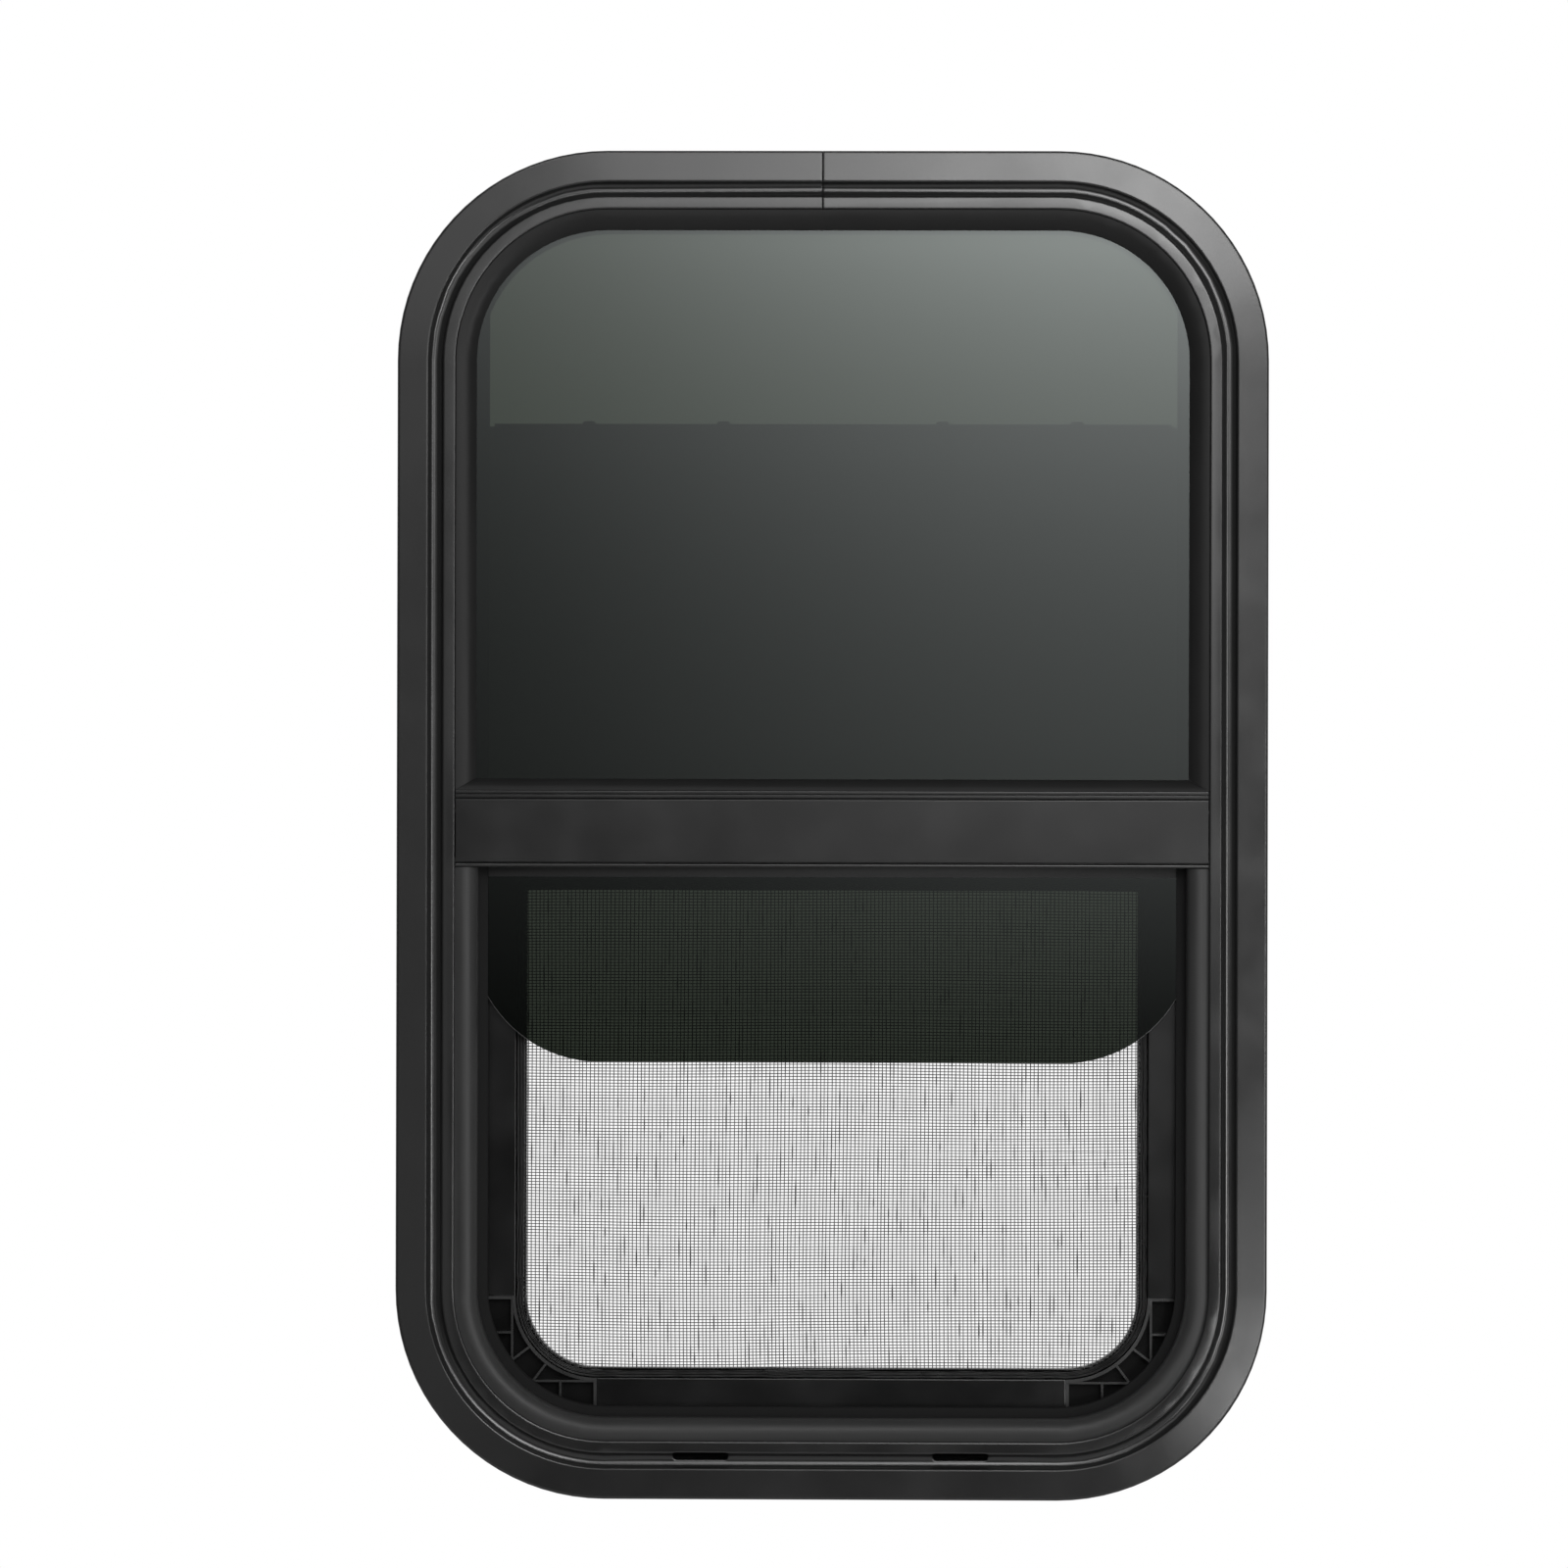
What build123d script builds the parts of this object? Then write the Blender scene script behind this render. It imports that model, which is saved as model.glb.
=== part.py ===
"""Sliding window for a caravan wall.

A bent aluminium frame holds a fixed upper pane, a lower sash pane that slides
up behind it in a rubber run channel, and a fly screen on the inside.
All sizes are in mm. X runs across, Y from outside to inside, Z up.
The origin is the middle of the flange's back face, which lies on the wall.
"""
import math
import os

from build123d import *

# Overall outline of the flange.
WIDTH = 416.0
HEIGHT = 644.0
CORNER_R = 100.0

# Clearances: pieces that seat in each other, and glass in rubber.
SEAT = 0.2
GLASS_GAP = 0.1

# Frame extrusion: flange on the wall, round drip cove, glazing lip.
FLANGE_W = 18.0
FLANGE_T = 4.0
FLANGE_EDGE_T = 3.0
FLANGE_EASE = 0.8
EDGE_EASE = 0.4
WALL = 1.5
COVE_BACK = 3.2
COVE_W = 7.3
COVE_STEPS = 7
COVE_FLOOR = -1.0
LIP_Y = -4.4
LIP_W = 3.9

# Frame extrusion: three channels from outside to inside, and the slot for the inner clamp ring.
POCKET_FRONT = -1.8
POCKET_W = 8.8
POCKET_IN = 6.0
RUN_W = 8.6
RUN_IN = 5.5
SCREEN_W = 8.8
SCREEN_IN = 7.5
FIN_T = 1.4
SHORT_FIN = 9.0
LONG_FIN = 14.0
SLOT_FLOOR = 0.9
BODY_DEPTH = 38.0

# Butt joint of the bent frame, on the top run, and the two weep slots below.
SEAM_X = -5.0
SEAM_GAP = 0.4
SEAM_DEEP = 0.8
WEEP_X = 62.0
WEEP_W = 26.6
WEEP_DEEP = 10.0
WEEP_R = 1.9
WEEP_TOP_R = 1.2

# Glass, and how far the fixed pane stands in from the pocket's front and floor.
GLASS_T = 4.0
PANE_BACK = 3.3
PANE_IN = 2.0

# Rubber round the fixed pane: a wedge from the frame's lip down to the glass.
WEDGE_W = 9.8
WEDGE_RISE = 1.6
WEDGE_EDGE = 0.5
WEDGE_BULGE = 1.3
WEDGE_STEPS = 4

# Mid rail, fixed across the frame, with the rubber above it and the pile strip behind it.
RAIL_Z = -1.9
RAIL_H = 36.6
RAIL_FRONT = -3.4
RAIL_WALL = 1.6
RAIL_POCKET = 9.3
RAIL_RIDGE_H = 3.4
RAIL_GROOVE_W = 0.9
RAIL_GROOVE_DEEP = 1.1
RAIL_NOTCH_W = 0.7
RAIL_NOTCH_DEEP = 0.7
RAIL_FOOT_R = 0.8
RAIL_EASE = 0.3
RAIL_END_GAP = 0.4
RAIL_BEAD_H = 5.6
PILE_W = 8.0
PILE_H = 2.2
PILE_DROP = 4.7

# Rubber run channel that the sash pane slides in.
RUN_LIP = 13.7
RUN_WALL = 1.8
RUN_WEB = 3.3
RUN_TAIL = 26.0
RUN_TAPER = 3.0

# Bulb seal round the lower opening.
BULB_W = 10.6
BULB_RISE = 1.3
BULB_DROP = 3.0
BULB_STEPS = 5

# Sash, drawn raised by SASH_LIFT from its closed place.
SASH_LIFT = 172.0
SASH_SIDE_GAP = 5.4
SASH_FOOT_GAP = 6.7
SASH_CORNER_TUCK = 3.1
SASH_OVERLAP = 3.6
SASH_RAIL_H = 8.0
SASH_RAIL_T = 1.2
SASH_RAIL_INSET = 11.0
PULL_INSET = 42.1
PULL_W = 70.8
PULL_LUG_W = 6.4
PULL_LUG_H = 1.2
PULL_LUG_EASE = 1.0
PULL_PLATE_T = 2.4
PULL_REACH = 12.0
PULL_NOSE_H = 4.6
PULL_CORNER = 2.0
PULL_EASE = 0.6

# Fly screen.
SCREEN_GAP = 2.2
SCREEN_BAR_W = 27.9
SCREEN_BAR_T = 8.2
SCREEN_WALL = 0.9
SCREEN_CORNER_TUCK = 4.5
SCREEN_TOP_DROP = 1.6
SPLINE_W = 4.4
SPLINE_DEEP = 5.0
SPLINE_PROUD = 0.1
MESH_T = 0.26
MESH_BORDER = 6.0
MESH_BAR = 15.0
MESH_COLUMNS = 5
MESH_ROWS = 4
CORNER_WALL = 1.6
CORNER_KEY = 14.0
RIB_T = 1.1
RIB_DROP = 0.8
RIB_OFFSET = 17.0
RIB_TURNS = (37.0, 53.0)

# Places that follow from the sizes above. Names in _D are distances in from the outer edge.
HALF_W = WIDTH / 2
HALF_H = HEIGHT / 2
LONG_X = HALF_W - CORNER_R
LONG_Z = HALF_H - CORNER_R
COVE_D = FLANGE_W - COVE_BACK
LIP_START_D = COVE_D + COVE_W
POCKET_D = FLANGE_W + POCKET_IN
LIP_D = POCKET_D + LIP_W
RUN_FLOOR_D = POCKET_D + RUN_IN
SCREEN_FLOOR_D = POCKET_D + SCREEN_IN
SHORT_FIN_D = POCKET_D + SHORT_FIN
LONG_FIN_D = POCKET_D + LONG_FIN
POCKET_BACK = POCKET_FRONT + POCKET_W
RUN_FRONT = POCKET_BACK + FIN_T
RUN_BACK = RUN_FRONT + RUN_W
SCREEN_FRONT = RUN_BACK + FIN_T
SCREEN_BACK = SCREEN_FRONT + SCREEN_W
PANE_Y = POCKET_FRONT + PANE_BACK
PANE_D = POCKET_D + PANE_IN
WEDGE_D = LIP_D + WEDGE_W
RAIL_TOP = RAIL_Z + RAIL_H / 2
RAIL_BOTTOM = RAIL_Z - RAIL_H / 2
RUN_LIP_D = RUN_FLOOR_D + RUN_LIP
SASH_Y = (RUN_FRONT + RUN_BACK) / 2
SASH_EDGE_D = RUN_FLOOR_D + SASH_SIDE_GAP
SASH_CORNER_R = CORNER_R - SASH_EDGE_D - SASH_CORNER_TUCK
SASH_FOOT_Z = -HALF_H + RUN_FLOOR_D + SASH_FOOT_GAP + SASH_LIFT
SASH_TOP_Z = RAIL_TOP + SASH_OVERLAP + SASH_LIFT
SASH_RAIL_HALF = HALF_W - SASH_EDGE_D - SASH_RAIL_INSET
SCREEN_Y0 = SCREEN_FRONT + SEAT
SCREEN_Y1 = SCREEN_Y0 + SCREEN_BAR_T
SCREEN_EDGE_D = SCREEN_FLOOR_D + SCREEN_GAP
SCREEN_IN_D = SCREEN_EDGE_D + SCREEN_BAR_W
SCREEN_TOP = RAIL_Z - SCREEN_TOP_DROP
SCREEN_CORNER_R = CORNER_R - SCREEN_EDGE_D - SCREEN_CORNER_TUCK
SCREEN_CX = HALF_W - SCREEN_EDGE_D - SCREEN_CORNER_R
SCREEN_CZ = -HALF_H + SCREEN_EDGE_D + SCREEN_CORNER_R
LIP_EDGE_D = SCREEN_IN_D - SCREEN_WALL
GROOVE_D = LIP_EDGE_D - SPLINE_W
MESH_D = LIP_EDGE_D - GLASS_GAP
MESH_SEAT = SCREEN_Y0 + MESH_T + 2 * GLASS_GAP

# Each side of the outline: a point on the outer edge, the way inwards and the way along.
SIDES = {
    "left": (Vector(-HALF_W, 0, 0), Vector(1, 0, 0), Vector(0, 0, 1)),
    "top": (Vector(0, 0, HALF_H), Vector(0, 0, -1), Vector(1, 0, 0)),
    "right": (Vector(HALF_W, 0, 0), Vector(-1, 0, 0), Vector(0, 0, -1)),
    "bottom": (Vector(0, 0, -HALF_H), Vector(0, 0, 1), Vector(-1, 0, 0)),
}


def face_of(*points):
    """A polygon in a section plane."""
    return make_face(Polyline(*points, close=True))


def soften(section, radius, *points):
    """Round the section's corners nearest to the points."""
    for point in points:
        corner = section.vertices().sort_by_distance(point)[0]
        section = fillet(corner, radius)
    return section


def ease(section, size, *points):
    """Break the section's corners nearest to the points with a small chamfer."""
    for point in points:
        corner = section.vertices().sort_by_distance(point)[0]
        section = chamfer(corner, size)
    return section


def straight(section, side, start, end):
    """A section run along one side, between two places measured along it."""
    edge, inward, along = SIDES[side]
    plane = Plane(origin=edge + along * start, x_dir=inward, z_dir=along)
    return extrude(plane * section, amount=end - start)


def bend(section, side):
    """A section turned through the frame corner that follows a side."""
    edge, inward, along = SIDES[side]
    half = HALF_H if side in ("left", "right") else HALF_W
    start = edge + along * (half - CORNER_R)
    plane = Plane(origin=start, x_dir=inward, z_dir=along)
    centre = start + inward * CORNER_R
    return revolve(plane * section, axis=Axis(centre, (0, 1, 0)), revolution_arc=90)


def slab(outline, front, back):
    """An outline drawn as seen from outside, given thickness between two depths."""
    plane = Plane((0, back, 0), x_dir=(1, 0, 0), z_dir=(0, -1, 0))
    return extrude(plane * outline, amount=back - front)


def across(section, x0, x1):
    """A section drawn as (depth, height), run across the window."""
    plane = Plane((x0, 0, 0), x_dir=(0, 1, 0), z_dir=(1, 0, 0))
    return extrude(plane * section, amount=x1 - x0)


def pane(half_width, foot, top, foot_r=0.0, top_r=0.0):
    """A rectangle as seen from outside, with its lower and upper corners rounded."""
    shape = face_of((-half_width, foot), (half_width, foot), (half_width, top), (-half_width, top))
    if foot_r:
        shape = soften(shape, foot_r, (-half_width, foot), (half_width, foot))
    if top_r:
        shape = soften(shape, top_r, (-half_width, top), (half_width, top))
    return shape


def block(x0, x1, y0, y1, z0, z1):
    """A box between two corners."""
    middle = Pos((x0 + x1) / 2, (y0 + y1) / 2, (z0 + z1) / 2)
    return middle * Box(x1 - x0, y1 - y0, z1 - z0)


def both_sides(solid):
    """A solid and its mirror image across the window's middle."""
    return solid + mirror(solid, about=Plane.YZ)


def cove(start, end, floor, steps):
    """Points of a round hollow between two edges, down to a floor."""
    (x0, y0), (x1, y1) = start, end
    deep = floor - (y0 + y1) / 2
    points = []
    for i in range(steps + 1):
        turn = math.pi * i / steps
        t = (1 - math.cos(turn)) / 2
        points.append((x0 + (x1 - x0) * t, y0 + (y1 - y0) * t + deep * math.sin(turn)))
    return points


def frame_section():
    """The frame extrusion: flange, drip cove, glazing lip and three channels on a hollow body."""
    slot_d = FLANGE_W + WALL
    slot_in = POCKET_D - WALL
    slot_y = SCREEN_BACK + FIN_T + SLOT_FLOOR
    flange_inner = (COVE_D, -FLANGE_T)
    lip_outer = (LIP_START_D, LIP_Y)
    lip_inner = (LIP_D, LIP_Y)
    body = face_of(
        (0, 0),
        (0, -FLANGE_EDGE_T),
        *cove(flange_inner, lip_outer, COVE_FLOOR, COVE_STEPS),
        lip_inner,
        (LIP_D, POCKET_FRONT),
        (POCKET_D, POCKET_FRONT),
        (POCKET_D, POCKET_BACK),
        (SHORT_FIN_D, POCKET_BACK),
        (SHORT_FIN_D, RUN_FRONT),
        (RUN_FLOOR_D, RUN_FRONT),
        (RUN_FLOOR_D, RUN_BACK),
        (LONG_FIN_D, RUN_BACK),
        (LONG_FIN_D, SCREEN_FRONT),
        (SCREEN_FLOOR_D, SCREEN_FRONT),
        (SCREEN_FLOOR_D, SCREEN_BACK),
        (LONG_FIN_D, SCREEN_BACK),
        (LONG_FIN_D, SCREEN_BACK + FIN_T),
        (POCKET_D, SCREEN_BACK + FIN_T),
        (POCKET_D, BODY_DEPTH),
        (slot_in, BODY_DEPTH),
        (slot_in, slot_y),
        (slot_d, slot_y),
        (slot_d, BODY_DEPTH),
        (FLANGE_W, BODY_DEPTH),
        (FLANGE_W, 0),
    )
    body = ease(body, FLANGE_EASE, (0, -FLANGE_EDGE_T))
    body = ease(body, EDGE_EASE, flange_inner, lip_outer, lip_inner)
    chamber = face_of(
        (slot_d, COVE_FLOOR + WALL),
        (slot_in, COVE_FLOOR + WALL),
        (slot_in, RUN_FRONT),
        (RUN_FLOOR_D - WALL, RUN_FRONT),
        (RUN_FLOOR_D - WALL, SCREEN_FRONT),
        (SCREEN_FLOOR_D - WALL, SCREEN_FRONT),
        (SCREEN_FLOOR_D - WALL, SCREEN_BACK),
        (slot_d, SCREEN_BACK),
    )
    return body - chamber


def outer_frame():
    """The frame bent from one length, closed on the top run by a butt joint that shows as a fine slit."""
    section = frame_section()
    slit_floor = COVE_FLOOR + SEAM_DEEP
    front_skin = section - Pos(0, SEAM_DEEP) * section
    front_skin &= face_of((0, LIP_Y), (LIP_D, LIP_Y), (LIP_D, slit_floor), (0, slit_floor))
    frame = straight(section, "left", -LONG_Z, LONG_Z)
    for side in SIDES:
        frame += bend(section, side)
    frame += straight(section, "right", -LONG_Z, LONG_Z)
    frame += straight(section, "bottom", -LONG_X, LONG_X)
    frame += straight(section, "top", -LONG_X, LONG_X)
    frame -= straight(front_skin, "top", SEAM_X - SEAM_GAP / 2, SEAM_X + SEAM_GAP / 2)
    weep_foot = -HALF_H + FLANGE_W + WALL / 2
    weep_top = -HALF_H + POCKET_D - WALL
    weep = pane(WEEP_W / 2, weep_foot, weep_top, foot_r=WEEP_R, top_r=WEEP_TOP_R)
    for x in (-WEEP_X, WEEP_X):
        frame -= slab(Pos(x, 0) * weep, LIP_Y, WEEP_DEEP)
    return frame


def bead_mitre(grow):
    """The rail bead's share of the corner it makes with the side beads, as seen from outside."""
    low = HALF_W - LIP_D + grow
    high = HALF_W - WEDGE_D + grow
    crest = RAIL_TOP + RAIL_BEAD_H
    outline = face_of((-low, RAIL_TOP), (low, RAIL_TOP), (high, crest), (-high, crest))
    return slab(outline, LIP_Y - WALL, POCKET_BACK)


def hump(start, end, rise, steps):
    """Points of a shallow arc that bows by rise to the right of the way from start to end."""
    (x0, y0), (x1, y1) = start, end
    across_x, across_y = y1 - y0, x0 - x1
    length = (across_x**2 + across_y**2) ** 0.5
    points = []
    for i in range(steps + 1):
        t = i / steps
        bow = 4 * t * (1 - t) * rise / length
        points.append((x0 + (x1 - x0) * t + across_x * bow, y0 + (y1 - y0) * t + across_y * bow))
    return points


def upper_glazing_bead():
    """The rubber round the top and sides of the fixed pane, one length."""
    root = POCKET_D + SEAT
    front = POCKET_FRONT + SEAT
    back = POCKET_BACK - SEAT
    glass = PANE_Y - GLASS_GAP
    behind = PANE_Y + GLASS_T + GLASS_GAP
    neck = LIP_D + SEAT
    section = face_of(
        *hump((neck, front - WEDGE_RISE), (WEDGE_D, glass - WEDGE_EDGE), WEDGE_BULGE, WEDGE_STEPS),
        (WEDGE_D, glass),
        (PANE_D - SEAT, glass),
        (PANE_D - SEAT, behind),
        (SHORT_FIN_D, behind),
        (SHORT_FIN_D, back),
        (root, back),
        (root, front),
        (neck, front),
    )
    foot = RAIL_TOP + SEAT
    bead = straight(section, "left", foot, LONG_Z)
    bead += bend(section, "left")
    bead += straight(section, "top", -LONG_X, LONG_X)
    bead += bend(section, "top")
    bead += straight(section, "right", -LONG_Z, -foot)
    return bead - bead_mitre(SEAT)


def rail_glazing_bead():
    """The rubber along the fixed pane's foot, seated in the mid rail."""
    foot = RAIL_TOP - RAIL_POCKET + SEAT
    front = RAIL_FRONT + RAIL_WALL + SEAT
    back = RUN_FRONT - SEAT - RAIL_WALL - SEAT
    glass = PANE_Y - GLASS_GAP
    behind = PANE_Y + GLASS_T + GLASS_GAP
    crest = RAIL_TOP + RAIL_BEAD_H
    seat = RAIL_TOP + SEAT
    bulge = WEDGE_BULGE * RAIL_BEAD_H / WEDGE_W
    section = face_of(
        (front, foot),
        (front, seat),
        *hump((front - WEDGE_RISE, seat), (glass - WEDGE_EDGE, crest), -bulge, WEDGE_STEPS),
        (glass, crest),
        (glass, foot + WALL),
        (behind, foot + WALL),
        (behind, RAIL_TOP),
        (back, RAIL_TOP),
        (back, foot),
    )
    reach = HALF_W - LIP_D
    root = block(-reach, reach, LIP_Y - WALL, POCKET_BACK, foot, RAIL_TOP)
    return across(section, -reach, reach) & (root + bead_mitre(0.0))


def rail_section():
    """The hollow mid rail: grooved face outside, glazing pocket along its top."""
    back = RUN_FRONT - SEAT
    inner_front = RAIL_FRONT + RAIL_WALL
    inner_back = back - RAIL_WALL
    floor = RAIL_TOP - RAIL_POCKET
    ridge = RAIL_TOP - RAIL_RIDGE_H
    notch = RAIL_TOP - RAIL_RIDGE_H / 2
    foot = RAIL_BOTTOM + 2 * RAIL_FOOT_R
    deep = RAIL_FRONT + RAIL_GROOVE_DEEP
    body = face_of(
        (RAIL_FRONT, foot + RAIL_GROOVE_W),
        (deep, foot + RAIL_GROOVE_W / 2),
        (RAIL_FRONT, foot),
        (RAIL_FRONT, RAIL_BOTTOM),
        (back, RAIL_BOTTOM),
        (back, RAIL_TOP),
        (inner_back, RAIL_TOP),
        (inner_back, floor),
        (inner_front, floor),
        (inner_front, RAIL_TOP),
        (RAIL_FRONT, RAIL_TOP),
        (RAIL_FRONT, notch + RAIL_NOTCH_W / 2),
        (RAIL_FRONT + RAIL_NOTCH_DEEP, notch),
        (RAIL_FRONT, notch - RAIL_NOTCH_W / 2),
        (RAIL_FRONT, ridge),
        (deep, ridge - RAIL_GROOVE_W / 2),
        (RAIL_FRONT, ridge - RAIL_GROOVE_W),
    )
    body = soften(body, RAIL_FOOT_R - GLASS_GAP, (RAIL_FRONT, RAIL_BOTTOM), (RAIL_FRONT, foot))
    body = soften(body, RAIL_EASE, (RAIL_FRONT, RAIL_TOP), (RAIL_FRONT, ridge))
    body = soften(body, RAIL_EASE, (RAIL_FRONT, ridge - RAIL_GROOVE_W), (RAIL_FRONT, foot + RAIL_GROOVE_W))
    hollow = face_of(
        (inner_front, foot + RAIL_GROOVE_W + RAIL_WALL),
        (inner_front, floor - RAIL_WALL),
        (inner_back, floor - RAIL_WALL),
        (inner_back, RAIL_BOTTOM + RAIL_WALL),
        (deep + RAIL_WALL, RAIL_BOTTOM + RAIL_WALL),
        (deep + RAIL_WALL, foot + RAIL_GROOVE_W + RAIL_WALL),
    )
    return body - hollow


def mid_rail():
    """The rail across the middle, its ends stepped to seat in the frame's glazing pocket."""
    tongue = HALF_W - POCKET_D - SEAT
    rail = across(rail_section(), -tongue, tongue)
    lip = HALF_W - LIP_D - RAIL_END_GAP
    fin = HALF_W - SHORT_FIN_D - SEAT
    low, high = RAIL_BOTTOM - RAIL_H, RAIL_TOP + RAIL_H
    front_end = block(lip, HALF_W, RAIL_FRONT - RAIL_H, POCKET_FRONT + SEAT, low, high)
    back_end = block(fin, HALF_W, POCKET_BACK - SEAT, RUN_FRONT + RAIL_H, low, high)
    return rail - both_sides(front_end) - both_sides(back_end)


def rail_pile_seal():
    """The pile strip on the rail's back that hangs below it and wipes the sash pane."""
    back = RUN_FRONT - SEAT
    reach = HALF_W - RUN_LIP_D - SEAT
    foot = RAIL_BOTTOM - PILE_DROP
    return block(-reach, reach, back, back + PILE_H, foot, foot + PILE_W)


def lower_seal():
    """The bulb seal round the sides and foot of the lower opening, one length."""
    root = POCKET_D + SEAT
    front = POCKET_FRONT + SEAT
    back = POCKET_BACK - SEAT
    deep = RUN_FRONT - SEAT
    neck = LIP_D + SEAT
    shoulder = neck + BULB_W
    section = face_of(
        *hump((neck, front), (shoulder, front + BULB_DROP), BULB_RISE + BULB_DROP / 2, BULB_STEPS),
        (shoulder, deep),
        (SHORT_FIN_D + SEAT, deep),
        (SHORT_FIN_D + SEAT, back),
        (root, back),
        (root, front),
    )
    head = RAIL_BOTTOM - SEAT
    seal = straight(section, "left", -LONG_Z, head)
    seal += bend(section, "bottom")
    seal += straight(section, "bottom", -LONG_X, LONG_X)
    seal += bend(section, "right")
    seal += straight(section, "right", -head, LONG_Z)
    return seal


def run_channel():
    """The rubber channel that guides the sash pane, one length; its lips run on past the upper bends."""
    front = RUN_FRONT + SEAT / 2
    back = RUN_BACK - SEAT / 2
    root = RUN_FLOOR_D + SEAT
    web = root + RUN_WEB
    section = face_of(
        (root, front),
        (RUN_LIP_D, front),
        (RUN_LIP_D, front + RUN_WALL),
        (web, front + RUN_WALL),
        (web, back - RUN_WALL),
        (RUN_LIP_D, back - RUN_WALL),
        (RUN_LIP_D, back),
        (root, back),
    )
    channel = straight(section, "left", -LONG_Z, LONG_Z)
    channel += bend(section, "bottom")
    channel += straight(section, "bottom", -LONG_X, LONG_X)
    channel += bend(section, "right")
    channel += straight(section, "right", -LONG_Z, LONG_Z)
    outer, inner = -HALF_W + web, -HALF_W + RUN_LIP_D
    tip = LONG_Z + RUN_TAIL
    tail = face_of((outer, LONG_Z), (inner, LONG_Z), (inner, tip), (outer + RUN_TAPER, tip))
    for depth in (front, back - RUN_WALL):
        channel += both_sides(slab(tail, depth, depth + RUN_WALL))
    return channel


def upper_glass():
    """The fixed pane."""
    foot = RAIL_TOP - RAIL_POCKET + WALL + 2 * SEAT
    half = HALF_W - PANE_D
    top = HALF_H - PANE_D
    outline = pane(half, foot, top, top_r=CORNER_R - PANE_D)
    return slab(outline, PANE_Y, PANE_Y + GLASS_T)


def sash_glass():
    """The sliding pane, rounded at its foot to meet the frame's corners."""
    half = HALF_W - SASH_EDGE_D
    top = SASH_TOP_Z - SASH_RAIL_T - GLASS_GAP
    outline = pane(half, SASH_FOOT_Z, top, foot_r=SASH_CORNER_R)
    return slab(outline, SASH_Y - GLASS_T / 2, SASH_Y + GLASS_T / 2)


def sash_top_rail():
    """The thin channel pressed on the sash pane's upper edge."""
    inner = GLASS_T / 2 + GLASS_GAP
    outer = inner + SASH_RAIL_T
    foot = SASH_TOP_Z - SASH_RAIL_H
    section = face_of(
        (SASH_Y - outer, foot),
        (SASH_Y - outer, SASH_TOP_Z),
        (SASH_Y + outer, SASH_TOP_Z),
        (SASH_Y + outer, foot),
        (SASH_Y + inner, foot),
        (SASH_Y + inner, SASH_TOP_Z - SASH_RAIL_T),
        (SASH_Y - inner, SASH_TOP_Z - SASH_RAIL_T),
        (SASH_Y - inner, foot),
    )
    return across(section, -SASH_RAIL_HALF, SASH_RAIL_HALF)


def sash_pull():
    """One finger pull on the inside of the sash rail, hooked over it by two lugs."""
    x1 = SASH_RAIL_HALF - PULL_INSET
    x0 = x1 - PULL_W
    front = SASH_Y - GLASS_T / 2 - GLASS_GAP - SASH_RAIL_T
    back = SASH_Y + GLASS_T / 2 + GLASS_GAP + SASH_RAIL_T + GLASS_GAP
    foot = SASH_TOP_Z - SASH_RAIL_H
    seat = SASH_TOP_Z + GLASS_GAP
    top = seat + PULL_LUG_H
    section = face_of(
        (back, foot),
        (back + PULL_REACH, foot),
        (back + PULL_REACH, foot + PULL_NOSE_H),
        (back + PULL_REACH - PULL_PLATE_T, foot + PULL_NOSE_H),
        (back + PULL_REACH - PULL_PLATE_T, foot + PULL_PLATE_T),
        (back + PULL_PLATE_T, foot + PULL_PLATE_T),
        (back + PULL_PLATE_T, seat),
        (back, seat),
    )
    section = ease(section, PULL_EASE, (back + PULL_REACH, foot), (back + PULL_PLATE_T, seat))
    pull = across(section, x0, x1)
    nose = pull.edges().filter_by(Axis.Z).group_by(Axis.Y)[-1]
    pull = chamfer(nose, PULL_CORNER)
    for x in (x0, x1 - PULL_LUG_W):
        lug = face_of((x, seat), (x + PULL_LUG_W, seat), (x + PULL_LUG_W, top), (x, top))
        lug = ease(lug, PULL_LUG_EASE, (x, top), (x + PULL_LUG_W, top))
        pull += slab(lug, front, back + PULL_PLATE_T / 2)
    return pull


def bar_section(edge):
    """A rolled screen bar: hollow box, spline groove facing outside, low lip for the mesh."""
    inner = edge + SCREEN_BAR_W
    lip = inner - SCREEN_WALL
    groove = lip - SPLINE_W
    bar = face_of(
        (edge, SCREEN_Y0),
        (groove, SCREEN_Y0),
        (groove, SCREEN_Y0 + SPLINE_DEEP),
        (lip, SCREEN_Y0 + SPLINE_DEEP),
        (lip, MESH_SEAT),
        (inner, MESH_SEAT),
        (inner, SCREEN_Y1),
        (edge, SCREEN_Y1),
    )
    hollow = face_of(
        (edge + SCREEN_WALL, SCREEN_Y0 + SCREEN_WALL),
        (groove - SCREEN_WALL, SCREEN_Y0 + SCREEN_WALL),
        (groove - SCREEN_WALL, SCREEN_Y1 - SCREEN_WALL),
        (edge + SCREEN_WALL, SCREEN_Y1 - SCREEN_WALL),
    )
    return bar - hollow


def top_mitre(gap):
    """The screen's top bar as seen from outside, mitred to the side bars."""
    outer = HALF_W - SCREEN_EDGE_D - gap
    inner = HALF_W - SCREEN_IN_D - gap
    foot = SCREEN_TOP - SCREEN_BAR_W
    outline = face_of((-outer, SCREEN_TOP), (outer, SCREEN_TOP), (inner, foot), (-inner, foot))
    return slab(outline, SCREEN_Y0 - SCREEN_WALL, SCREEN_Y1 + SCREEN_WALL)


def screen_side_bar():
    """The left bar of the fly screen."""
    bar = straight(bar_section(SCREEN_EDGE_D), "left", SCREEN_CZ, SCREEN_TOP)
    return bar - top_mitre(0.0)


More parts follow.
